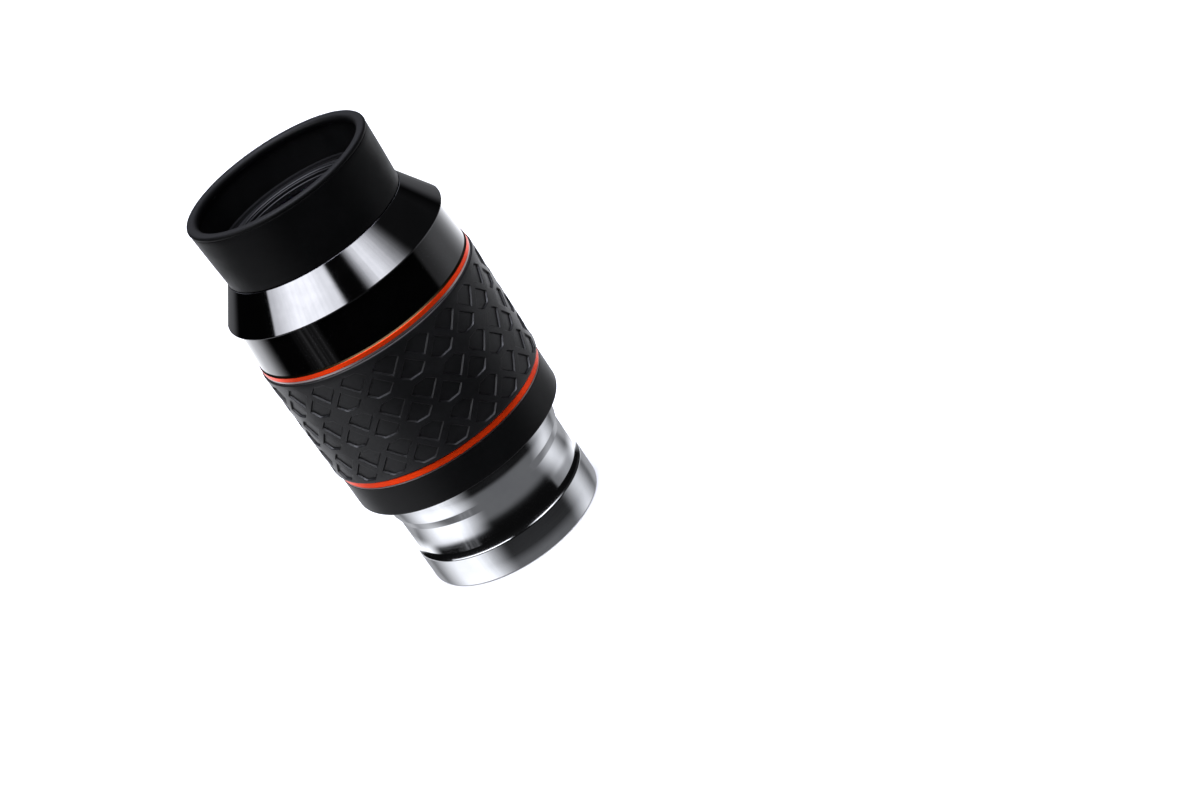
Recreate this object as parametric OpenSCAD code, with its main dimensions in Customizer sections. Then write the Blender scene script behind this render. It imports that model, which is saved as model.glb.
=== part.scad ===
// Telescope eyepiece with a 2 inch barrel, a rubber-covered body and a twist-up eyecup.
// +Z runs along the optical axis towards the eye. Z = 0 is the open end of the barrel.

/* [Barrel] */
// Outer radius of the 2 inch barrel
barrel_r = 25.4; // [25.3:0.05:25.45]
// Length of the barrel from its open end to the shoulder
barrel_h = 30; // [28:1:34]
// Depth of the safety groove round the barrel
groove_depth = 0.8; // [0.3:0.1:1.2]
// Radius of the filter thread's bore
filter_r = 23.6; // [23.4:0.05:23.7]
// Length of the filter thread
filter_h = 6; // [4:0.5:7]

/* [Body] */
// Outer radius of the lower housing
housing_r = 30.5; // [30.2:0.1:31]
// Height of the lower housing
housing_h = 9.2; // [8.8:0.1:10]
// Outer radius of the rubber grip at its top
grip_top_r = 31.5; // [31.2:0.1:32]
// Outer radius of the rubber grip at its bottom
grip_bottom_r = 31.2; // [31:0.1:31.8]
// Height of the rubber grip
grip_h = 33.8; // [30:0.1:36]
// Outer radius of the upper accent ring
upper_ring_r = 31.1; // [30.8:0.1:31.4]
// Outer radius of the lower accent ring
lower_ring_r = 30.4; // [30:0.1:30.8]
// Outer radius of the name band at its bottom
band_bottom_r = 30.8; // [30.4:0.1:31]
// Outer radius of the name band at its top
band_top_r = 29.9; // [29.5:0.1:30.4]
// Height of the name band
band_h = 12.5; // [11:0.1:13]
// Outer radius of the cone at its bottom edge
cone_bottom_r = 31.7; // [31.2:0.1:32]
// Outer radius of the cone under the eyecup
cone_top_r = 25.5; // [25.3:0.1:26]
// Height of the cone
cone_h = 9.8; // [9.6:0.1:10.4]

/* [Eyecup] */
// Outer radius of the eyecup at its lip
lip_r = 26.1; // [25.8:0.1:26.6]
// Inner radius of the eyecup's lip
lip_inner_r = 23.2; // [23:0.1:23.6]
// Outer radius of the eyecup at its foot
cup_foot_r = 25; // [24.8:0.1:25.3]
// Height of the eyecup from foot to lip
cup_h = 17.5; // [16.5:0.1:18.5]
// How far the eyecup rises when it is twisted
cup_rise = 5; // [3:0.5:5]
// Turn that raises the eyecup all the way, in degrees
cup_turn = 90; // [60:5:90]

/* [Fits] */
// Running clearance on a radius
running = 0.05; // [0.03:0.01:0.08]
// Gap between faces that stand against each other
seat = 0.05; // [0.02:0.01:0.08]
// Thickness of the cement between two lenses
cement = 0.02; // [0.01:0.01:0.05]

/* [Hidden] */
$fn = 96;
thirds = [0, 120, 240];

// Heights of the joints between the pieces of the body
z_shoulder = barrel_h;
z_housing_top = z_shoulder + housing_h;
z_low_bright = z_housing_top + seat;
z_low_accent = z_low_bright + 0.4;
z_grip = z_low_accent + 1.8;
z_grip_top = z_grip + grip_h;
z_up_bright = z_grip_top + seat;
z_up_accent = z_up_bright + 0.55;
z_band = z_up_accent + 1.7;
z_cone = z_band + band_h;
z_cone_top = z_cone + cone_h;
z_cup = z_cone_top + 0.3;
z_lip = z_cup + cup_h;

// Radii and heights inside the body
neck_r = 24.4;
neck_h = 5;
relief_h = 0.3;
undercut_r = barrel_r - 0.5;
undercut_h = 0.4;
spigot_r = 28;
grip_seat_r = 28.8;
optics_r = 25;
optics_bore_r = 22.05;
z_ledge = z_shoulder + 5.4;
z_optics = z_ledge + seat;
z_optics_top = z_cone - 0.15;
z_lock = z_shoulder + 16.5;

// Lens groups: rim radii and the height of each group's top
lens_r = 22;
eye_lens_r = 19.5;
field_lens_r = 20.5;
z_upper = z_cone - 0.35;
z_middle = z_upper - 13.6;
z_field = z_middle - 16.5;
z_lens_seat = z_field - 7.1;

// Eyecup mechanism
guide_r = 21.2;
guide_bore_r = 19.6;
z_flange_top = z_cone + 0.95;
z_guide_top = z_lip - 11;
z_eye = z_guide_top - 2.2;
sleeve_r = 22.9;
sleeve_bore_r = guide_r + running;
recess_r = 23.2;
z_click = z_flange_top + 0.1;
click_h = 2.3;
z_plunger = z_click + click_h / 2;
z_sleeve = z_click + click_h + 0.3;
z_sleeve_top = z_guide_top - 0.5;
z_pin = z_sleeve + 5.2;
pin_r = 1;
key_angle = 11;
key_r = 22;
key_top = z_sleeve + 9.3;
slot_steps = 45;
slot_half_h = pin_r + 0.2;
slot_margin = 3.2;

// Points of an arc about (x, y), from angle a to angle b
function arc(x, y, r, a, b, n = 6) =
    [for (i = [0:n]) [x + r * cos(a + (b - a) * i / n), y + r * sin(a + (b - a) * i / n)]];

// How far a sphere of radius r falls away at a distance x from its axis
function sag(r, x) = r - sqrt(r * r - x * x);

module turned(points) {
    rotate_extrude() polygon(points);
}

// A plain ring, or a sector of one when angle is under 360
module ring(r_in, r_out, z0, z1, angle = 360) {
    rotate_extrude(angle = angle) translate([r_in, z0]) square([r_out - r_in, z1 - z0]);
}

// A cylinder that points outwards from the axis
module radial(r, from, to, z, angle = 0) {
    rotate([0, 0, angle]) translate([from, 0, z]) rotate([0, 90, 0]) cylinder(r = r, h = to - from);
}

// A lens between two surfaces. A positive radius is convex, a negative one is hollow, 0 is flat.
module lens(r, z_low, r_low, z_high, r_high) {
    low_drop = r_low < 0 ? sag(-r_low, r) : 0;
    high_rise = r_high < 0 ? sag(-r_high, r) : 0;
    rotate_extrude() difference() {
        intersection() {
            translate([0, z_low - low_drop]) square([r, z_high - z_low + low_drop + high_rise]);
            if (r_low > 0) translate([0, z_low + r_low]) circle(r_low, $fn = 360);
            if (r_high > 0) translate([0, z_high - r_high]) circle(r_high, $fn = 360);
        }
        if (r_low < 0) translate([0, z_low + r_low]) circle(-r_low, $fn = 360);
        if (r_high < 0) translate([0, z_high - r_high]) circle(-r_high, $fn = 360);
    }
}

// 2 inch barrel: filter thread bore at the open end, tapered safety groove, undercut root, neck
module barrel() color("#b9bcc0") turned([
    [filter_r + 0.4, 0], [barrel_r - 0.6, 0], [barrel_r, 0.6],
    [barrel_r, 9], [barrel_r - groove_depth, 11], [barrel_r - groove_depth, 20],
    [barrel_r, 22.5], [barrel_r, z_shoulder - undercut_h], [undercut_r, z_shoulder - undercut_h],
    [undercut_r, z_shoulder + relief_h - seat], [neck_r, z_shoulder + relief_h - seat],
    [neck_r, z_shoulder + neck_h], [21.6, z_shoulder + neck_h], [21.6, z_shoulder + 0.4],
    [23.2, z_shoulder + 0.4], [23.2, filter_h + 0.4], [filter_r, filter_h], [filter_r, 0.4]
]);

// Lower housing: satin shell that joins the barrel to the body, relieved round the barrel's root
module lower_housing() color("#232325") turned(concat(
    [[neck_r + running, z_shoulder + relief_h], [barrel_r + running, z_shoulder + relief_h],
    [barrel_r + running, z_shoulder]],
    arc(housing_r - 0.7, z_shoulder + 0.7, 0.7, -90, 0),
    [[housing_r, z_housing_top], [spigot_r + running, z_housing_top],
    [spigot_r + running, z_ledge], [neck_r + running, z_ledge]]
));

// Thin bare-metal ring under an accent ring
module lower_bright_ring() color("#c9ccd0")
    ring(spigot_r + running, housing_r - 0.1, z_low_bright, z_low_accent - seat);

module upper_bright_ring() color("#c9ccd0")
    ring(spigot_r + running, upper_ring_r - 0.05, z_up_bright, z_up_accent - seat);

// Accent ring with its upper edge cut away at 45 degrees by edge
module accent_ring(r, z0, z1, edge) turned([
    [spigot_r + running, z0], [r - 0.1, z0], [r, z0 + 0.1], [r, z1 - edge], [r - edge, z1],
    [spigot_r + running, z1]
]);

module lower_accent_ring() color("#d9481c")
    accent_ring(lower_ring_r, z_low_accent, z_grip - seat, 0.15);

module upper_accent_ring() color("#d9481c")
    accent_ring(upper_ring_r, z_up_accent, z_band - seat, 0.45);

// Tube that carries the grip, with a spigot at each end and holes for the lock screws
module main_body() color("#2a2a2c") difference() {
    turned([
        [optics_r + 0.1, z_optics], [spigot_r, z_optics], [spigot_r, z_grip],
        [grip_seat_r, z_grip], [grip_seat_r, z_grip_top], [spigot_r, z_grip_top],
        [spigot_r, z_band + 2.6], [optics_r + 0.1, z_band + 2.6],
        [optics_r + 0.1, z_band - 6], [26.8, z_band - 8], [26.8, z_shoulder + 22],
        [optics_r + 0.1, z_shoulder + 20]
    ]);
    for (a = thirds) radial(1.3, optics_r - 2, grip_seat_r + 2, z_lock, a);
}

// Grub screws that lock the body to the optics tube, hidden under the grip
module body_lock_screws() color("#57595c") for (a = thirds) difference() {
    radial(1.25, 24.2, grip_seat_r - 0.1, z_lock, a);
    rotate([0, 0, a]) translate([grip_seat_r - 1.4, 0, z_lock]) rotate([0, 90, 0])
        cylinder(r = 0.75, h = 2, $fn = 6);
}

// Rubber grip sleeve with rounded ends
module rubber_grip() color("#303032") turned(concat(
    [[grip_seat_r + running, z_grip + seat]],
    arc(grip_bottom_r - 0.9, z_grip + seat + 0.9, 0.9, -90, 0),
    arc(grip_top_r - 0.45, z_grip_top - seat - 0.45, 0.45, 0, 90),
    [[grip_seat_r + running, z_grip_top - seat]]
));

// Gloss band between the upper accent ring and the cone
module name_band() color("#0d0d0f") turned([
    [spigot_r + running, z_band], [band_bottom_r - 0.2, z_band], [band_bottom_r, z_band + 0.2],
    [band_top_r, z_cone - seat], [27.6, z_cone - seat], [27.6, z_band + 2.7],
    [spigot_r + running, z_band + 2.7]
]);

// Gloss cone: spigot into the band, overhanging rounded edge, recess for the eyecup sleeve
module cone_housing() color("#141416") difference() {
    turned(concat(
        [[optics_r + running, z_cone - 5.5], [27.55, z_cone - 5.5], [27.55, z_cone]],
        arc(cone_bottom_r - 0.25, z_cone + 0.25, 0.25, -90, 33),
        arc(cone_top_r - 0.15, z_cone_top - 0.15, 0.15, 33, 90),
        [[recess_r, z_cone_top], [recess_r, z_flange_top + seat],
        [optics_r + running, z_flange_top + seat]]
    ));
    for (a = thirds) radial(1.25, recess_r - 1, 28, z_plunger, a + 30);
}

// One helical slot, cut as short level steps that climb round the tube
module helical_slot() for (i = [0:slot_steps - 1]) {
    turn = cup_turn / slot_steps;
    start = i == 0 ? -slot_margin : i * turn;
    end = i == slot_steps - 1 ? cup_turn + slot_margin : (i + 1) * turn + 0.4;
    z_mid = z_pin + (i + 0.5) * cup_rise / slot_steps;
    rotate([0, 0, start]) ring(guide_bore_r - 1, guide_r + 1, z_mid - slot_half_h,
        z_mid + slot_half_h, end - start);
}

// Guide tube: clamped flange, lens seat and three helical slots for the guide screws
module guide_tube() color("#3c3d40") difference() {
    turned([
        [18.3, z_optics_top + seat], [optics_r, z_optics_top + seat], [optics_r, z_flange_top],
        [guide_r, z_flange_top], [guide_r, z_guide_top - 0.3], [guide_r - 0.3, z_guide_top],
        [guide_bore_r, z_guide_top], [guide_bore_r, z_eye - 12.1], [18.3, z_eye - 12.1]
    ]);
    for (a = thirds) rotate([0, 0, a]) helical_slot();
}

// Optics tube: holds the upper lens groups, with an inner seat for the field lens
module optics_tube() color("#3a3b3e") difference() {
    turned([
        [optics_bore_r, z_optics], [optics_r, z_optics], [optics_r, z_optics_top],
        [optics_bore_r, z_optics_top], [optics_bore_r, z_lens_seat], [20.2, z_lens_seat],
        [20.2, z_lens_seat - 2], [optics_bore_r, z_lens_seat - 2]
    ]);
    for (a = thirds) radial(1.3, 24.1, optics_r + 1, z_lock, a);
}

// Cell for the field doublet, seated inside the barrel
module field_cell() color("#2f3033") turned([
    [19.4, 12.2], [22.4, 12.2], [23.1, 12.9], [23.1, z_shoulder + 0.35],
    [20.55, z_shoulder + 0.35], [20.55, 13.4], [19.4, 13]
]);

module field_doublet_flint() color("#cfe3dc", 0.5) lens(field_lens_r, 17.2, -60, 19.6, -45);

module field_doublet_crown() color("#d3e6ee", 0.5) lens(field_lens_r, 19.6 + cement, 45, 28.4, 90);

// Threaded ring that holds the field doublet in its cell
module field_retainer() color("#2b2b2d") turned([
    [19.4, 26.4], [field_lens_r, 26.2], [field_lens_r, z_shoulder], [18.9, z_shoulder]
]);

// Knife-edged stop at the field plane
module field_stop() color("#1d1d1f") turned([
    [20.4, z_lens_seat - 8], [lens_r, z_lens_seat - 8], [lens_r, z_lens_seat - 2 - seat],
    [19.6, z_lens_seat - 2 - seat], [18.2, z_lens_seat - 3.9], [18.2, z_lens_seat - 4.1]
]);

module field_lens() color("#d3e6ee", 0.5) lens(lens_r, z_field - 5.2, -140, z_field, 65);

// Ring that keeps two lenses apart
module spacer(z0, z1) ring(20.6, lens_r, z0, z1);

module lower_spacer() color("#2b2b2d") spacer(z_field - 3.25, z_middle - 14.1);

module middle_doublet_flint() color("#cfe3dc", 0.5)
    lens(lens_r, z_middle - 12, -120, z_middle - 9.4, -60);

module middle_doublet_crown() color("#d3e6ee", 0.5)
    lens(lens_r, z_middle - 9.4 + cement, 60, z_middle, 80);

module middle_spacer() color("#2b2b2d") spacer(z_middle - 2.6, z_upper - 12.65);

module upper_doublet_flint() color("#cfe3dc", 0.5)
    lens(lens_r, z_upper - 12.6, 0, z_upper - 10.2, -60);

module upper_doublet_crown() color("#d3e6ee", 0.5)
    lens(lens_r, z_upper - 10.2 + cement, 60, z_upper, 70);

module doublet_retainer() color("#2b2b2d") spacer(z_upper - 3, z_upper - 0.3);

module inner_eye_lens() color("#d3e6ee", 0.5) lens(eye_lens_r, z_eye - 14.1, 80, z_eye - 7, 60);

module eye_spacer() color("#2b2b2d") ring(18.4, eye_lens_r, z_eye - 9.8, z_eye - 3.8);

module eye_lens() color("#cfe0f2", 0.5) lens(eye_lens_r, z_eye - 6.2, 70, z_eye, 120);

// Threaded ring over the eye lens, with ridges that step down towards the glass
module eye_lens_retainer() color("#1a1a1c") turned([
    [18.5, z_eye - 1.3], [eye_lens_r, z_eye - 1.45], [eye_lens_r, z_guide_top],
    [18.9, z_guide_top], [18.9, z_guide_top - 0.7], [18.6, z_guide_top - 0.7],
    [18.6, z_guide_top - 0.3], [18.1, z_guide_top - 0.3], [18.1, z_guide_top - 1.4],
    [17.8, z_guide_top - 1.4], [17.8, z_guide_top - 1], [17.3, z_guide_top - 1],
    [17.3, z_guide_top - 2.3], [18.5, z_guide_top - 2.9]
]);

// Ball plungers pressed into the cone's recess
module click_plungers() color("#a9adb2") for (a = thirds) rotate([0, 0, a + 30]) {
    radial(1.2, recess_r + 0.1, 27.8, z_plunger);
    translate([recess_r + 0.25, 0, z_plunger]) sphere(r = 0.75, $fn = 32);
}

// Click ring: turns with the sleeve without rising, has notches for the balls and three keys
module click_ring() color("#b08a3c") {
    difference() {
        turned([
            [guide_r + running, z_click], [sleeve_r, z_click], [sleeve_r, z_plunger - 0.85],
            [sleeve_r - 0.45, z_plunger - 0.5], [sleeve_r - 0.45, z_plunger + 0.5],
            [sleeve_r, z_plunger + 0.85], [sleeve_r, z_click + click_h],
            [guide_r + running, z_click + click_h]
        ]);
        for (a = thirds, b = [0, -cup_turn / 2, -cup_turn]) rotate([0, 0, a + b + 30])
            translate([recess_r + 0.05, 0, z_click - 1]) cylinder(r = 1, h = click_h + 2);
    }
    for (a = thirds) rotate([0, 0, a + 60 - key_angle / 2])
        ring(guide_r + 0.2, key_r, z_click + 1, key_top, key_angle);
}

// Eyecup sleeve: slides and turns on the guide tube, with keyways and countersunk screw holes
module eyecup_sleeve() color("#33343a") difference() {
    ring(sleeve_bore_r, sleeve_r, z_sleeve, z_sleeve_top);
    for (a = thirds) {
        rotate([0, 0, a + 60 - key_angle / 2 - 0.3])
            ring(guide_r - 1, key_r + 0.1, z_sleeve - 1, key_top + 0.5, key_angle + 0.6);
        radial(pin_r + running, guide_r - 1, sleeve_r + 1, z_pin, a);
        radial(1.8, 22.1, sleeve_r + 1, z_pin, a);
    }
}

// Guide screws: heads sunk in the sleeve, tips in the helical slots
module guide_screws() color("#8c9096") for (a = thirds) difference() {
    union() {
        radial(pin_r, guide_bore_r + 0.3, 22.3, z_pin, a);
        radial(1.7, 22.2, sleeve_r - 0.1, z_pin, a);
    }
    rotate([0, 0, a]) translate([sleeve_r, 0, z_pin]) cube([0.7, 0.5, 4], center = true);
}

// Soft eyecup: foot bonded to the sleeve, flared wall, fine groove under a beaded lip, inner shelf
module rubber_eyecup() color("#1c1c1d") turned(concat(
    [[sleeve_r + running, z_cup]],
    arc(cup_foot_r - 0.9, z_cup + 0.9, 0.9, -90, 0),
    [[lip_r - 0.1, z_lip - 1.3], [lip_r - 0.35, z_lip - 1.15], [lip_r - 0.35, z_lip - 1]],
    arc(lip_r - 0.75, z_lip - 0.75, 0.75, -20, 90),
    arc(lip_inner_r + 1.3, z_lip - 1.3, 1.3, 90, 215),
    [[lip_inner_r + 0.9, z_lip - 3], [lip_inner_r + 0.3, z_guide_top + 0.3],
    [lip_inner_r, z_guide_top], [guide_r + 0.3, z_guide_top], [guide_r + 0.3, z_sleeve_top + seat],
    [sleeve_r + running, z_sleeve_top + seat]]
));

barrel();
lower_housing();
lower_bright_ring();
lower_accent_ring();
main_body();
rubber_grip();
upper_bright_ring();
upper_accent_ring();
name_band();
cone_housing();
guide_tube();
optics_tube();
field_cell();
field_doublet_flint();
field_doublet_crown();
field_retainer();
field_stop();
field_lens();
lower_spacer();
middle_doublet_flint();
middle_doublet_crown();
middle_spacer();
upper_doublet_flint();
upper_doublet_crown();
doublet_retainer();
inner_eye_lens();
eye_spacer();
eye_lens();
eye_lens_retainer();
body_lock_screws();
click_plungers();
click_ring();
eyecup_sleeve();
guide_screws();
rubber_eyecup();
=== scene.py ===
"""Telescope eyepiece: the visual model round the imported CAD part."""
import math

import bmesh
import bpy
from mathutils import Matrix, Vector
from mathutils.geometry import delaunay_2d_cdt


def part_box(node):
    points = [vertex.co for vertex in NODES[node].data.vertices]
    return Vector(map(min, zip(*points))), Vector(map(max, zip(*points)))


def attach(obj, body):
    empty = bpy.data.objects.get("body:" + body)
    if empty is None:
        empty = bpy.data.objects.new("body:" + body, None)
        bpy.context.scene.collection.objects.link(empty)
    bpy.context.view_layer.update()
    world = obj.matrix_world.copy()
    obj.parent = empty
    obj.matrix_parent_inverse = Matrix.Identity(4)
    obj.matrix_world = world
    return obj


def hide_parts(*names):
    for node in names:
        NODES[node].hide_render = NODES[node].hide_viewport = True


MM = 0.001
UM = 1e-6
TAU = 2 * math.pi
DEGREES = 180 / math.pi

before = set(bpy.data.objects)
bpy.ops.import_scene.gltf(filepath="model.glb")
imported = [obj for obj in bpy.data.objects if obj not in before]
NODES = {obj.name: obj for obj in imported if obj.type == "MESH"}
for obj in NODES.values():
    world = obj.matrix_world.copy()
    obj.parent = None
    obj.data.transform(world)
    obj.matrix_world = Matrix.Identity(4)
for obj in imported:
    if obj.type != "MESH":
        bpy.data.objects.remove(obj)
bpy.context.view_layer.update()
scene = bpy.context.scene


def low_mm(node):
    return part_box(node)[0].z / MM


def high_mm(node):
    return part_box(node)[1].z / MM


def radius_mm(node):
    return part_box(node)[1].x / MM


# ------------------------------------------------------------------ camera
LENS_MM = 75.0
SENSOR_MM = 36.0
CAMERA_ELEVATION = 26.165
CAMERA_ROLL = -33.12
AIM_HEIGHT = 0.076
AIM_IN_CAMERA = (-0.06014, 0.02489, -0.63627)


def make_camera():
    data = bpy.data.cameras.new("camera")
    data.lens = LENS_MM
    data.sensor_width = SENSOR_MM
    data.clip_start = 0.01
    data.clip_end = 50
    cam = bpy.data.objects.new("camera", data)
    scene.collection.objects.link(cam)
    turn = (Matrix.Rotation(math.radians(90 - CAMERA_ELEVATION), 3, "X")
            @ Matrix.Rotation(math.radians(CAMERA_ROLL), 3, "Z"))
    place = Vector((0, 0, AIM_HEIGHT)) - turn @ Vector(AIM_IN_CAMERA)
    cam.matrix_world = Matrix.Translation(place) @ turn.to_4x4()
    scene.camera = cam


# ------------------------------------------------------------------ node helpers
class Graph:
    """Short calls for building a material's or the world's nodes."""

    def __init__(self, tree):
        self.tree = tree
        tree.nodes.clear()

    def node(self, kind, inputs=None, **settings):
        made = self.tree.nodes.new(kind)
        for key, value in settings.items():
            setattr(made, key, value)
        for key, value in (inputs or {}).items():
            self.put(made.inputs[key], value)
        return made

    def put(self, socket, value):
        if isinstance(value, bpy.types.NodeSocket):
            self.tree.links.new(value, socket)
        else:
            socket.default_value = value

    def math(self, operation, a, b=0.0, c=0.0):
        made = self.tree.nodes.new("ShaderNodeMath")
        made.operation = operation
        for i, value in enumerate((a, b, c)):
            self.put(made.inputs[i], value)
        return made.outputs[0]

    def steps(self, value, a, b, low=0.0, high=1.0):
        """low where value is at a, high where it is at b, and smooth between them."""
        made = self.node("ShaderNodeMapRange", interpolation_type="SMOOTHSTEP")
        for i, v in enumerate((value, a, b, low, high)):
            self.put(made.inputs[i], v)
        return made.outputs[0]

    def mix(self, factor, a, b):
        made = self.tree.nodes.new("ShaderNodeMix")
        made.data_type = "RGBA"
        self.put(made.inputs[0], factor)
        for socket, value in ((made.inputs[6], a), (made.inputs[7], b)):
            if isinstance(value, tuple) and len(value) == 3:
                value = value + (1.0,)
            self.put(socket, value)
        return made.outputs[2]


# ------------------------------------------------------------------ world and floor
def make_world():
    """A dark studio with a softbox on either side of the camera, a white sweep behind and a light above.

    Azimuth 0 is the camera's side and positive is to its right. Both angles are in degrees.
    """
    world = bpy.data.worlds.new("studio")
    scene.world = world
    world.use_nodes = True
    g = Graph(world.node_tree)
    way = g.node("ShaderNodeTexCoord").outputs["Generated"]
    xyz = g.node("ShaderNodeSeparateXYZ", {0: way}).outputs
    back = g.math("MULTIPLY", xyz[1], -1.0)
    azimuth = g.math("MULTIPLY", g.math("ARCTAN2", xyz[0], back), DEGREES)
    elevation = g.math("MULTIPLY", g.math("ARCSINE", xyz[2]), DEGREES)

    def window(value, low, high, soft_low, soft_high):
        up = g.steps(value, low - soft_low, low + soft_low)
        down = g.steps(value, high - soft_high, high + soft_high, 1.0, 0.0)
        return g.math("MULTIPLY", up, down)

    def total(*parts):
        out = parts[0]
        for part in parts[1:]:
            out = g.math("ADD", out, part)
        return out

    # The softboxes: one strip that dips towards its ends, so it follows the cone's slope
    side = g.math("ABSOLUTE", azimuth)
    middle = g.math("MULTIPLY_ADD", g.math("MULTIPLY", side, side), -0.0021, 42.0)
    off_middle = g.math("ABSOLUTE", g.math("SUBTRACT", elevation, middle))
    strip = g.steps(off_middle, 8, 12, 1.0, 0.0)
    along = g.node("ShaderNodeCombineXYZ", {0: g.math("MULTIPLY", azimuth, 0.35)}).outputs[0]
    streaks = noise(g, 1.0, 3, 0.6, along)
    left_glow = g.math("MULTIPLY", g.steps(azimuth, -98, -58, 2.4, 5.5), g.steps(azimuth, -42, -20, 1.0, 0.8))
    left_glow = g.math("MULTIPLY", left_glow, g.steps(streaks, 0.3, 0.7, 0.9, 1.06))
    left_box = g.math("MULTIPLY", window(azimuth, -91, -13, 1.0, 4.0), left_glow)
    glow = g.math("MULTIPLY", window(azimuth, 23, 55, 12, 22), g.steps(streaks, 0.3, 0.7, 0.8, 1.12))
    right_box = g.math("MULTIPLY", window(azimuth, 14, 130, 4, 10), g.math("MULTIPLY_ADD", glow, 4.4, 0.02))
    boxes = g.math("MULTIPLY", total(left_box, right_box), strip)
    # The sweep and the wall behind, and the pale cards below that light the straight walls
    behind = total(g.steps(azimuth, -104, -134, 0.0, 1.7), g.steps(azimuth, 70, 76, 0.0, 0.2),
                   g.steps(azimuth, 76, 104, 0.0, 0.2), g.steps(azimuth, 112, 165, 0.0, 1.35))
    sweep = g.math("MULTIPLY", g.math("MULTIPLY", behind, g.steps(elevation, -12, -16)),
                   g.steps(elevation, -27, -22.5, 0.1, 1.0))
    wall = g.math("MULTIPLY", g.steps(side, 134, 148), g.steps(elevation, 14, 8, 0.0, 0.2))
    fills = total(g.math("MULTIPLY", window(azimuth, -115, -45, 25, 25), 1.3),
                  g.math("MULTIPLY", window(azimuth, 85, 120, 20, 20), 0.8))
    card = total(g.steps(elevation, -26, -34, 0.0, 0.15),
                 g.math("MULTIPLY", fills, window(elevation, -44, -24.5, 6, 1.5)))
    glints = g.math("MULTIPLY", window(azimuth, -72, -48, 8, 4), g.steps(streaks, 0.35, 0.8, 0.0, 0.3))
    glints = g.math("MULTIPLY", glints, g.steps(elevation, 0, -8))
    room = 0.004
    neutral = total(boxes, sweep, wall, card, glints, room)
    overhead = g.steps(elevation, 54, 64, 0.0, 7.0)
    rim = g.math("MULTIPLY", g.math("MULTIPLY", g.steps(side, 118, 150), window(elevation, 20, 64, 5, 8)), 0.9)
    cool = total(overhead, rim)
    shades = [g.node("ShaderNodeBackground", {"Color": colour, "Strength": strength})
              for colour, strength in (((0.97, 0.985, 1.04, 1.0), neutral), ((0.93, 0.95, 1.1, 1.0), cool))]
    both = g.node("ShaderNodeAddShader", {0: shades[0].outputs[0], 1: shades[1].outputs[0]})
    out = g.node("ShaderNodeOutputWorld")
    g.tree.links.new(both.outputs[0], out.inputs[0])


def make_floor():
    """A plain pale floor. Glossy surfaces don't reflect it: they reflect only the studio."""
    mesh = bpy.data.meshes.new("floor")
    half = 4.0
    mesh.from_pydata([(-half, -half, 0), (half, -half, 0), (half, half, 0), (-half, half, 0)], [], [(0, 1, 2, 3)])
    floor = bpy.data.objects.new("floor", mesh)
    scene.collection.objects.link(floor)
    mat, g = new_material("floor_pale")
    finish_material(g, g.node("ShaderNodeBsdfDiffuse", {"Color": (0.9, 0.9, 0.9, 1.0)}))
    mesh.materials.append(mat)
    floor.visible_glossy = False


# ------------------------------------------------------------------ materials
def new_material(name):
    mat = bpy.data.materials.new(name)
    mat.use_nodes = True
    return mat, Graph(mat.node_tree)


def finish_material(g, shade):
    out = g.node("ShaderNodeOutputMaterial")
    g.tree.links.new(shade.outputs[0], out.inputs[0])


def turned_coordinates(g, along, around=0.0):
    """Coordinates that only change with radius and height, for lathe marks: along and around are per metre."""
    place = g.node("ShaderNodeTexCoord").outputs["Object"]
    xyz = g.node("ShaderNodeSeparateXYZ", {0: place}).outputs
    flat = g.node("ShaderNodeCombineXYZ", {0: xyz[0], 1: xyz[1]}).outputs[0]
    radius = g.node("ShaderNodeVectorMath", {0: flat}, operation="LENGTH").outputs["Value"]
    across = g.math("MULTIPLY", g.math("ADD", radius, g.math("MULTIPLY", xyz[2], 1.7)), along)
    side_x = g.math("MULTIPLY", xyz[0], around)
    side_y = g.math("MULTIPLY", xyz[1], around)
    return g.node("ShaderNodeCombineXYZ", {0: side_x, 1: side_y, 2: across}).outputs[0]


def noise(g, scale, detail=3.0, roughness=0.55, vector=None):
    if vector is None:
        vector = g.node("ShaderNodeTexCoord").outputs["Object"]
    made = g.node("ShaderNodeTexNoise", {"Vector": vector, "Scale": scale, "Detail": detail,
                                         "Roughness": roughness})
    return made.outputs["Fac"]


def bump(g, height, distance, strength=1.0):
    return g.node("ShaderNodeBump", {"Height": height, "Distance": distance, "Strength": strength}).outputs[0]


def rubber(name, colour, pale, rough, grain=9000, grain_mm=0.034, specular=0.35):
    """Moulded rubber: fine matt grain, slow patches of wear and a little dust."""
    mat, g = new_material(name)
    patches = noise(g, 90, 4)
    fine = noise(g, grain, 2, 0.6)
    mid = noise(g, 3200, 3, 0.6)
    mixed = g.math("ADD", g.math("MULTIPLY", patches, 0.6), g.math("MULTIPLY", mid, 0.4))
    base = g.mix(g.steps(mixed, 0.35, 0.7), colour, pale)
    roughness = g.steps(patches, 0.3, 0.75, rough - 0.05, rough + 0.06)
    height = g.math("ADD", g.math("MULTIPLY", fine, 0.4), g.math("MULTIPLY", mid, 0.6))
    shade = g.node("ShaderNodeBsdfPrincipled", {
        "Base Color": base, "Roughness": roughness, "Specular IOR Level": specular,
        "Normal": bump(g, height, grain_mm * MM, 0.8)})
    finish_material(g, shade)
    return mat


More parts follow.
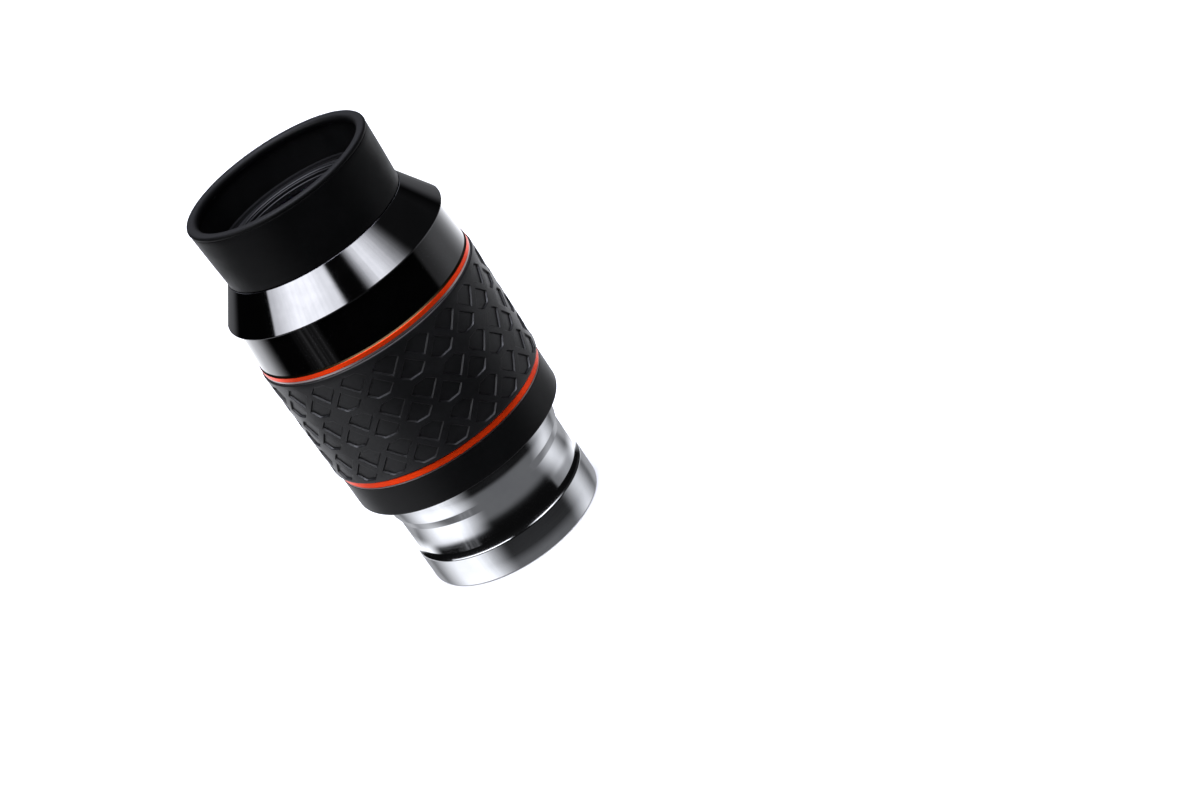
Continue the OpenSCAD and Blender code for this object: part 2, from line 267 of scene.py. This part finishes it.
def lathe_metal(name, colour, rough, metallic, line_um=1.5, ior=1.5, tint=None, spread=0.04, fine=26000):
    """Turned and finished metal with fine circumferential tool marks."""
    mat, g = new_material(name)
    lines = noise(g, 1.0, 3, 0.6, turned_coordinates(g, fine, 25))
    bands = noise(g, 1.0, 2, 0.5, turned_coordinates(g, 2600, 30))
    patches = noise(g, 120, 3)
    marks = g.math("ADD", g.math("MULTIPLY", lines, 0.65), g.math("MULTIPLY", bands, 0.35))
    roughness = g.steps(g.math("ADD", g.math("MULTIPLY", marks, 0.7), g.math("MULTIPLY", patches, 0.3)),
                        0.3, 0.7, rough - spread, rough + spread)
    base = g.mix(g.steps(patches, 0.3, 0.75), colour, tint or colour)
    shade = g.node("ShaderNodeBsdfPrincipled", {
        "Base Color": base, "Roughness": roughness, "Metallic": metallic, "IOR": ior,
        "Normal": bump(g, marks, line_um * UM)})
    finish_material(g, shade)
    return mat


def blast_metal(name, colour, rough, metallic, grain=6000, grain_um=4, ior=1.5, specular=0.5):
    """Bead-blasted and anodised metal."""
    mat, g = new_material(name)
    grit = noise(g, grain, 2, 0.7)
    patches = noise(g, 100, 3)
    roughness = g.steps(patches, 0.3, 0.75, rough - 0.03, rough + 0.05)
    dark = tuple(c * 0.8 for c in colour)
    base = g.mix(g.steps(grit, 0.3, 0.7), dark, colour)
    shade = g.node("ShaderNodeBsdfPrincipled", {
        "Base Color": base, "Roughness": roughness, "Metallic": metallic, "IOR": ior,
        "Specular IOR Level": specular, "Normal": bump(g, grit, grain_um * UM)})
    finish_material(g, shade)
    return mat


def accent_metal(name, colour, bare, z_bevel, rough=0.33):
    """Dyed anodised metal, with a bevel cut bright after dyeing above the height z_bevel."""
    mat, g = new_material(name)
    lines = noise(g, 1.0, 3, 0.6, turned_coordinates(g, 26000, 25))
    patches = noise(g, 150, 3)
    place = g.node("ShaderNodeTexCoord").outputs["Object"]
    height = g.node("ShaderNodeSeparateXYZ", {0: place}).outputs[2]
    cut = g.steps(height, (z_bevel - 0.03) * MM, (z_bevel + 0.03) * MM)
    dyed = g.mix(g.steps(patches, 0.3, 0.75), colour, tuple(c * 0.9 for c in colour))
    dyed_rough = g.steps(lines, 0.3, 0.7, rough - 0.05, rough + 0.05)
    shade = g.node("ShaderNodeBsdfPrincipled", {
        "Base Color": g.mix(cut, dyed, bare), "Metallic": g.math("MULTIPLY_ADD", cut, 0.22, 0.78),
        "Roughness": g.math("ADD", g.math("MULTIPLY", cut, -0.08), dyed_rough),
        "Specular IOR Level": 0.1, "Normal": bump(g, lines, UM)})
    finish_material(g, shade)
    return mat


def coated_glass(name, tint, reflection):
    """Lens glass with an anti-reflection coating that gives its reflection a colour."""
    mat, g = new_material(name)
    dust = noise(g, 1200, 4, 0.7)
    shade = g.node("ShaderNodeBsdfPrincipled", {
        "Base Color": tint + (1.0,), "Roughness": g.steps(dust, 0.68, 0.85, 0.0, 0.05), "IOR": 1.52,
        "Transmission Weight": 1.0, "Specular Tint": reflection + (1.0,)})
    finish_material(g, shade)
    return mat


# ------------------------------------------------------------------ mesh helpers
def mesh_object(name, verts_mm, faces, smooth_angle=35.0):
    mesh = bpy.data.meshes.new(name)
    mesh.from_pydata([tuple(c * MM for c in v) for v in verts_mm], [], faces)
    work = bmesh.new()
    work.from_mesh(mesh)
    bmesh.ops.remove_doubles(work, verts=work.verts, dist=1e-7)
    bmesh.ops.recalc_face_normals(work, faces=work.faces)
    limit = math.radians(smooth_angle)
    for f in work.faces:
        f.smooth = True
    for e in work.edges:
        e.smooth = len(e.link_faces) != 2 or e.calc_face_angle(0) < limit
    work.to_mesh(mesh)
    work.free()
    obj = bpy.data.objects.new(name, mesh)
    scene.collection.objects.link(obj)
    return obj


def arc(x, y, r, a, b, n=8):
    """Points of an arc about (x, y), from angle a to angle b in degrees."""
    turns = [math.radians(a + (b - a) * i / n) for i in range(n + 1)]
    return [(x + r * math.cos(t), y + r * math.sin(t)) for t in turns]


def closed_rings(count, segments):
    """Faces that join a closed ring of count points to the next one, segments times round the axis."""
    faces = []
    for s in range(segments):
        t = (s + 1) % segments
        for i in range(count):
            j = (i + 1) % count
            faces.append((s * count + i, t * count + i, t * count + j, s * count + j))
    return faces


def lathe(name, profile, segments=256, smooth_angle=35.0):
    """A closed profile of (radius, height) in mm, turned round the axis."""
    verts = []
    for s in range(segments):
        a = TAU * s / segments
        verts += [(r * math.cos(a), r * math.sin(a), z) for r, z in profile]
    return mesh_object(name, verts, closed_rings(len(profile), segments), smooth_angle)


# ------------------------------------------------------------------ grip
CELLS_ROUND = 21
CELL_HALF_W = 3.84
CELL_SHOULDER = 1.92
CELL_FLAT_HALF = 1.7
TREAD_PERIOD = 10.72
TREAD_DEPTH = 0.52
GRIP_RIB = 1.6
FLAT_PITCH = 9.4
CELL_EDGE_STEP = 1.1
SIDE_STEP = 1.3
TILE_COLUMNS = 8
# Loops round each cell: distance in from its outline, and depth, in mm
CELL_LOOPS = ((-0.15, 0.0), (-0.07, 0.0), (-0.01, 0.02), (0.04, 0.08), (0.14, 0.43), (0.18, 0.49),
              (0.24, TREAD_DEPTH), (0.34, TREAD_DEPTH))
# Points on each cell's floor, from its middle
CELL_FLOOR = ((-1.2, 0.6), (0, 0.6), (1.2, 0.6), (-1.2, -0.6), (0, -0.6), (1.2, -0.6))


def cell_outline(x, z_flat, way):
    """A pentagon whose flat side is at z_flat and whose point is way (-1 down, 1 up) from there."""
    corner = z_flat + way * CELL_SHOULDER
    point = corner + way * CELL_HALF_W
    pts = [(x - CELL_FLAT_HALF, z_flat), (x + CELL_FLAT_HALF, z_flat), (x + CELL_HALF_W, corner),
           (x, point), (x - CELL_HALF_W, corner)]
    return pts if way > 0 else pts[::-1]


def inset(poly, d):
    """A counter-clockwise convex polygon moved in by d."""
    lines = []
    for i, (x0, y0) in enumerate(poly):
        x1, y1 = poly[(i + 1) % len(poly)]
        length = math.hypot(x1 - x0, y1 - y0)
        nx, ny = -(y1 - y0) / length, (x1 - x0) / length
        lines.append((nx, ny, nx * x0 + ny * y0 + d))
    out = []
    for i in range(len(lines)):
        a, b, c = lines[i - 1]
        d_, e, f = lines[i]
        det = a * e - b * d_
        out.append(((c * e - b * f) / det, (a * f - c * d_) / det))
    return out


def pieces_in(a, b, step):
    return max(1, round(math.hypot(b[0] - a[0], b[1] - a[1]) / step))


def points_between(a, b, n):
    return [(a[0] + (b[0] - a[0]) * k / n, a[1] + (b[1] - a[1]) * k / n) for k in range(n)]


def divided(points, step):
    """An open line of points, with more of them about a step apart."""
    out = []
    for a, b in zip(points, points[1:]):
        out += points_between(a, b, pieces_in(a, b, step))
    return out + [points[-1]]


def grip_tile(pitch, z_top, z_bottom, z_rows):
    """One tile of the tread in the flat, as (x, z, depth) points and triangles.

    Its sides zigzag between the cells, so that each cell is whole in one tile.
    """
    half = pitch / 2
    rows = []
    for k, z in enumerate(z_rows):
        shift = half if k % 2 else 0.0
        rows.append((shift, z, -1))
        rows.append((half - shift, z - (z_rows[0] - z_rows[1]) + GRIP_RIB, 1))
    cells = [cell_outline(half + x, z, way) for x, z, way in rows]
    side = [(0.0, z_top)] + [(x, z + way * CELL_SHOULDER) for x, z, way in rows] + [(rows[-1][0], z_bottom)]
    points, edges, depths = [], [], []

    def add_loop(pts, depth):
        first, n = len(points), len(pts)
        points.extend(pts)
        depths.extend([depth] * n)
        edges.extend([(first + i, first + (i + 1) % n) for i in range(n)])

    left = divided(side, SIDE_STEP)
    right = [(x + pitch, z) for x, z in left]
    top = [(side[0][0] + pitch * k / TILE_COLUMNS, z_top) for k in range(1, TILE_COLUMNS)]
    bottom = [(side[-1][0] + pitch * k / TILE_COLUMNS, z_bottom) for k in range(1, TILE_COLUMNS)]
    add_loop(left + bottom + right[::-1] + top[::-1], 0.0)
    for cell in cells:
        corners = len(cell)
        counts = [pieces_in(cell[i], cell[(i + 1) % corners], CELL_EDGE_STEP) for i in range(corners)]
        for d, depth in CELL_LOOPS:
            loop = inset(cell, d)
            pts = []
            for i, n in enumerate(counts):
                pts += points_between(loop[i], loop[(i + 1) % corners], n)
            add_loop(pts, depth)
        middle_x = sum(p[0] for p in cell) / corners
        middle_z = sum(p[1] for p in cell) / corners
        points.extend([(middle_x + dx, middle_z + dz) for dx, dz in CELL_FLOOR])
        depths.extend([TREAD_DEPTH] * len(CELL_FLOOR))
    verts, _, faces, orig, _, _ = delaunay_2d_cdt([Vector(p) for p in points], edges, [], 1, 1e-6)
    depth_of = [depths[o[0]] if o else 0.0 for o in orig]
    return [(v.x, v.y, d) for v, d in zip(verts, depth_of)], [tuple(f) for f in faces]


def make_grip():
    """The grip sleeve: tread tiles round a slight taper, rounded ends and a plain bore."""
    z0, z1 = low_mm("rubber_grip"), high_mm("rubber_grip")
    r_top = radius_mm("rubber_grip")
    r_bottom = r_top - 0.3
    r_in = r_top - 2.65
    round_top, round_bottom = 0.45, 0.9
    chamfer = 0.15
    pitch = TAU / CELLS_ROUND
    z_flat = z1 - 1.75
    rows = [z_flat - TREAD_PERIOD * k for k in range(3)]
    z_hi, z_lo = z1 - round_top, z0 + round_bottom
    tile, tris = grip_tile(FLAT_PITCH, z_hi, z_lo, rows)

    def wall(z):
        return r_bottom + (r_top - r_bottom) * (z - z_lo) / (z_hi - z_lo)

    verts, faces = [], []
    for c in range(CELLS_ROUND):
        first = len(verts)
        for x, z, depth in tile:
            a = pitch * (c + x / FLAT_PITCH)
            r = wall(z) - depth
            verts.append((r * math.cos(a), r * math.sin(a), z))
        faces += [tuple(first + i for i in f) for f in tris]
    top_end = arc(r_top - round_top, z_hi, round_top, 0, 90, 5)
    top_end += [(r_in + chamfer, z1), (r_in, z1 - chamfer)]
    bottom_end = arc(r_bottom - round_bottom, z_lo, round_bottom, 0, -90, 7)
    bottom_end += [(r_in + chamfer, z0), (r_in, z0 + chamfer)]
    steps = CELLS_ROUND * TILE_COLUMNS
    inner = []
    for profile in (top_end, bottom_end):
        first = len(verts)
        for s in range(steps):
            a = TAU * s / steps
            verts += [(r * math.cos(a), r * math.sin(a), z) for r, z in profile]
        n = len(profile)
        for s in range(steps):
            t = (s + 1) % steps
            faces += [(first + s * n + i, first + t * n + i, first + t * n + i + 1, first + s * n + i + 1)
                      for i in range(n - 1)]
        inner.append([first + s * n + n - 1 for s in range(steps)])
    for s in range(steps):
        t = (s + 1) % steps
        faces.append((inner[0][s], inner[0][t], inner[1][t], inner[1][s]))
    grip = mesh_object("grip_tread", verts, faces, 65)
    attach(grip, "housing")
    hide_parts("rubber_grip")
    return grip


# ------------------------------------------------------------------ eyecup
def make_eyecup():
    """The rubber eyecup: a slightly bowed wall, a groove under the beaded lip, and a shelf round the lens."""
    z0, z1 = low_mm("rubber_eyecup") - 0.15, high_mm("rubber_eyecup")
    lip = radius_mm("rubber_eyecup")
    lip_in = lip - 2.9
    foot = lip - 0.85
    sleeve = radius_mm("eyecup_sleeve") + 0.05
    z_sleeve = high_mm("eyecup_sleeve") + 0.05
    z_shelf = high_mm("guide_tube")
    shelf_in = radius_mm("click_ring") - 1.4
    wall_top, wall_foot = lip_in + 0.9, lip_in + 0.3
    profile = [(sleeve, z0 + 0.1), (sleeve + 0.1, z0)]
    profile += arc(foot - 0.2, z0 + 0.2, 0.2, -90, -4, 5)
    for k in range(1, 12):
        share = k / 12
        profile.append((foot + (lip - 0.12 - foot) * share + 0.06 * math.sin(math.pi * share),
                        z0 + 0.9 + (z1 - 1.5 - z0 - 0.9) * share))
    profile += arc(lip - 0.3, z1 - 1.45, 0.18, 0, 80, 4)
    profile += arc(lip - 0.22, z1 - 1.12, 0.14, 265, 150, 5)
    profile += arc(lip - 0.8, z1 - 0.8, 0.8, -30, 90, 12)
    profile += arc(lip_in + 1.3, z1 - 1.3, 1.3, 90, 215, 18)
    z_wall = z1 - 3.2
    profile += [(lip_in + 0.3, z1 - 2.12), (lip_in + 0.62, z1 - 2.4)]
    profile += [(wall_top - 0.05, z1 - 2.8), (wall_top, z_wall)]
    for k in range(1, 7):
        share = k / 7
        profile.append((wall_top + (wall_foot - wall_top) * share, z_wall - (z_wall - z_shelf - 0.4) * share))
    profile += [(wall_foot, z_shelf + 0.4), (wall_foot, z_shelf + 0.26), (lip_in - 0.1, z_shelf),
                (shelf_in + 0.15, z_shelf), (shelf_in + 0.03, z_shelf - 0.05),
                (shelf_in, z_shelf - 0.15), (shelf_in, z_sleeve), (sleeve, z_sleeve)]
    cup = lathe("eyecup_rubber_shell", profile, 288, 30)
    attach(cup, "eyecup")
    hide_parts("rubber_eyecup")
    return cup


def make_retainer():
    """Ring over the eye lens: a bevelled edge and two anti-reflection ridges inside it."""
    z0, z1 = low_mm("eye_lens_retainer"), high_mm("eye_lens_retainer")
    r = radius_mm("eye_lens_retainer")
    # How far in from the outer radius, and how far below the top
    steps_in = ((1.0, 1.3), (0, 1.45), (0, 0.06), (0.06, 0), (0.3, 0), (0.6, 0.22), (0.6, 0.7), (0.9, 0.7),
                (0.9, 0.38), (1.0, 0.3), (1.22, 0.3), (1.4, 0.46), (1.4, 1.4), (1.7, 1.4), (1.7, 1.08),
                (1.78, 1.0), (2.02, 1.0), (2.2, 1.16), (2.2, 2.3))
    profile = [(r - inward, z1 - down) for inward, down in steps_in] + [(r - 1.0, z0)]
    ring = lathe("retainer_ridged", profile, 240, 25)
    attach(ring, "housing")
    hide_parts("eye_lens_retainer")
    return ring


# ------------------------------------------------------------------ barrel
def make_barrel():
    """The barrel with a ridged filter thread cut in its open end, a safety groove and an undercut root."""
    r = radius_mm("barrel")
    z_top = high_mm("barrel")
    z_shoulder = low_mm("lower_housing")
    root = z_shoulder + 0.25
    undercut = z_shoulder - 0.4
    pitch, depth = 0.75, 0.35
    bore, clear = r - 1.8, r - 2.2
    groove = r - 0.8
    neck = r - 1.0
    outer = [(bore + 0.45, 0.0), (r - 0.55, 0.0)] + arc(r - 0.5, 0.5, 0.5, -80, 0, 5)
    outer += [(r, 4.5), (r, 8.9)] + arc(r - 0.3, 9.1, 0.3, 0, 45, 3) + [(groove + 0.04, 10.9), (groove, 11.1)]
    outer += [(groove, 15.5), (groove, 19.9), (groove + 0.05, 20.1), (r - 0.08, 22.35), (r, 22.6)]
    outer += [(r, 26), (r, undercut - 0.12), (r - 0.12, undercut), (r - 0.5, undercut), (r - 0.5, root)]
    outer += [(neck, root), (neck, z_top - 0.2), (neck - 0.2, z_top), (r - 3.8, z_top)]
    outer += [(r - 3.8, z_shoulder + 0.4), (clear, z_shoulder + 0.4), (clear, 14.0), (clear, 7.0)]
    steps = 64
    z_mouth, z_thread, run_out = 0.45, 6.2, 0.5
    thread = [z_thread - (z_thread - z_mouth) * k / steps for k in range(steps + 1)]
    segments = 240
    verts = []
    for s in range(segments):
        a = TAU * s / segments
        ring = list(outer)
        for z in thread:
            fade = min(1.0, max(0.0, (z - z_mouth) / run_out)) * min(1.0, max(0.0, (z_thread - z) / run_out))
            wave = abs(((z / pitch + s / segments) % 1.0) * 2 - 1)
            ring.append((bore + (depth * wave * 0.9) * fade, z))
        ring.append((bore + 0.15, 0.12))
        verts += [(q * math.cos(a), q * math.sin(a), z) for q, z in ring]
    barrel = mesh_object("barrel_threaded", verts, closed_rings(len(ring), segments), 30)
    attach(barrel, "housing")
    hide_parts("barrel")
    return barrel


make_camera()
make_world()
make_floor()
scene.view_settings.view_transform = "Standard"

GLOSS = lathe_metal("gloss_black", (0.16, 0.16, 0.165), 0.065, 1.0, 1.2, 1.5, (0.19, 0.19, 0.195), 0.02)
BAND = lathe_metal("band_black", (0.0002, 0.0002, 0.00024), 0.08, 0.0, 0.4, 2.0, (0.0003, 0.0003, 0.00035), 0.02)
SATIN = blast_metal("satin_black", (0.0015, 0.0015, 0.0016), 0.4, 0.0, 9000, 3, specular=0.22)
BEVEL_MM = 0.4
ORANGE = accent_metal("accent_orange", (0.96, 0.053, 0.004), (0.05, 0.03, 0.014),
                      high_mm("upper_accent_ring") - BEVEL_MM)
BRIGHT = lathe_metal("bright_edge", (0.72, 0.62, 0.62), 0.35, 1.0, 1.0, 1.5, None, 0.06)
# The lower bright ring: the bright_edge metal with its colour darkened to about 0.42, painted shade
BRIGHT_EDGE_SHADED = lathe_metal("bright_edge_painted_shade", (0.3, 0.26, 0.26), 0.35, 1.0, 1.0, 1.5, None, 0.06)
CHROME = lathe_metal("barrel_chrome", (0.78, 0.79, 0.8), 0.1, 1.0, 0.8, 1.5, (0.72, 0.73, 0.75), 0.04, 18000)
INNER = blast_metal("black_anodised", (0.006, 0.006, 0.0065), 0.45, 0.0, 7000, 5)
RETAINER = blast_metal("retainer_black", (0.003, 0.003, 0.0033), 0.42, 0.0, 7000, 4, specular=0.22)
STEEL = lathe_metal("screw_steel", (0.42, 0.43, 0.45), 0.3, 1.0, 1.0, 1.5, (0.36, 0.37, 0.39), 0.05)
BRASS = lathe_metal("brass", (0.72, 0.5, 0.2), 0.3, 1.0, 1.0, 1.5, (0.64, 0.43, 0.16), 0.05)
GRIP = rubber("grip_rubber", (0.002, 0.002, 0.0022), (0.0036, 0.0036, 0.004), 0.38, specular=0.42)
CUP = rubber("eyecup_rubber", (0.0004, 0.0004, 0.00045), (0.0008, 0.0008, 0.0009), 0.5, 7000, specular=0.14)
GLASS_OUT = coated_glass("glass_violet", (0.8, 0.84, 0.86), (0.55, 0.4, 0.85))
GLASS_IN = coated_glass("glass_green", (0.8, 0.84, 0.86), (0.35, 0.8, 0.55))

LOOKS = {
    GLOSS: ("cone_housing",),
    BAND: ("name_band",),
    SATIN: ("lower_housing",),
    ORANGE: ("lower_accent_ring", "upper_accent_ring"),
    BRIGHT: ("upper_bright_ring",),
    BRIGHT_EDGE_SHADED: ("lower_bright_ring",),
    CHROME: ("barrel",),
    INNER: ("main_body", "guide_tube", "optics_tube", "field_cell", "field_retainer", "field_stop", "lower_spacer",
            "middle_spacer", "doublet_retainer", "eye_spacer", "eyecup_sleeve"),
    RETAINER: ("eye_lens_retainer",),
    STEEL: ("body_lock_screws", "guide_screws", "click_plungers"),
    BRASS: ("click_ring",),
    GRIP: ("rubber_grip",),
    CUP: ("rubber_eyecup",),
    GLASS_OUT: ("eye_lens", "field_doublet_flint", "field_lens", "middle_doublet_crown", "upper_doublet_crown"),
    GLASS_IN: ("inner_eye_lens", "field_doublet_crown", "middle_doublet_flint", "upper_doublet_flint"),
}
for look, names in LOOKS.items():
    for name in names:
        NODES[name].data.materials.clear()
        NODES[name].data.materials.append(look)

make_grip().data.materials.append(GRIP)
make_eyecup().data.materials.append(CUP)
make_retainer().data.materials.append(RETAINER)
make_barrel().data.materials.append(CHROME)
